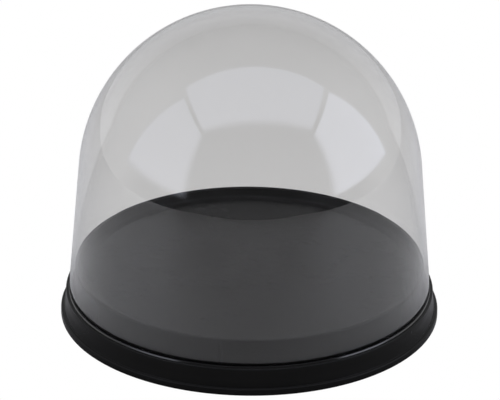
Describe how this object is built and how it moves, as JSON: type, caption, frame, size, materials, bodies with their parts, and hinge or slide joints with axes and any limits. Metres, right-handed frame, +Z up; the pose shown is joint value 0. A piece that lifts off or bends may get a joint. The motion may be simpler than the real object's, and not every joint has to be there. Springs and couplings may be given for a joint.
{
  "type": "humidity dome tray",
  "caption": "Tall clear domed cover on a round black tray with a raised deck, a channel that the cover's neck drops into and a flared skirt.",
  "frame": {"origin": "centre of the tray's foot circle, on the floor it stands on", "axes": "+Z up along the axis of the tray and the cover; +X and +Y are equal horizontal directions"},
  "size_m": [0.3048, 0.3048, 0.258],
  "materials": {
    "clear_cover": "clear formed sheet, faintly smoky, glossy on both faces",
    "black_tray": "black formed sheet, semi-gloss"
  },
  "bodies": {
    "tray": {"base_tray": "black_tray"},
    "cover": {"dome": "clear_cover"}
  },
  "joints": [
    {"name": "cover_lift", "type": "slide", "parent": "tray", "child": "cover", "axis": [0, 0, 1], "range_m": [0, 0.12]}
  ]
}
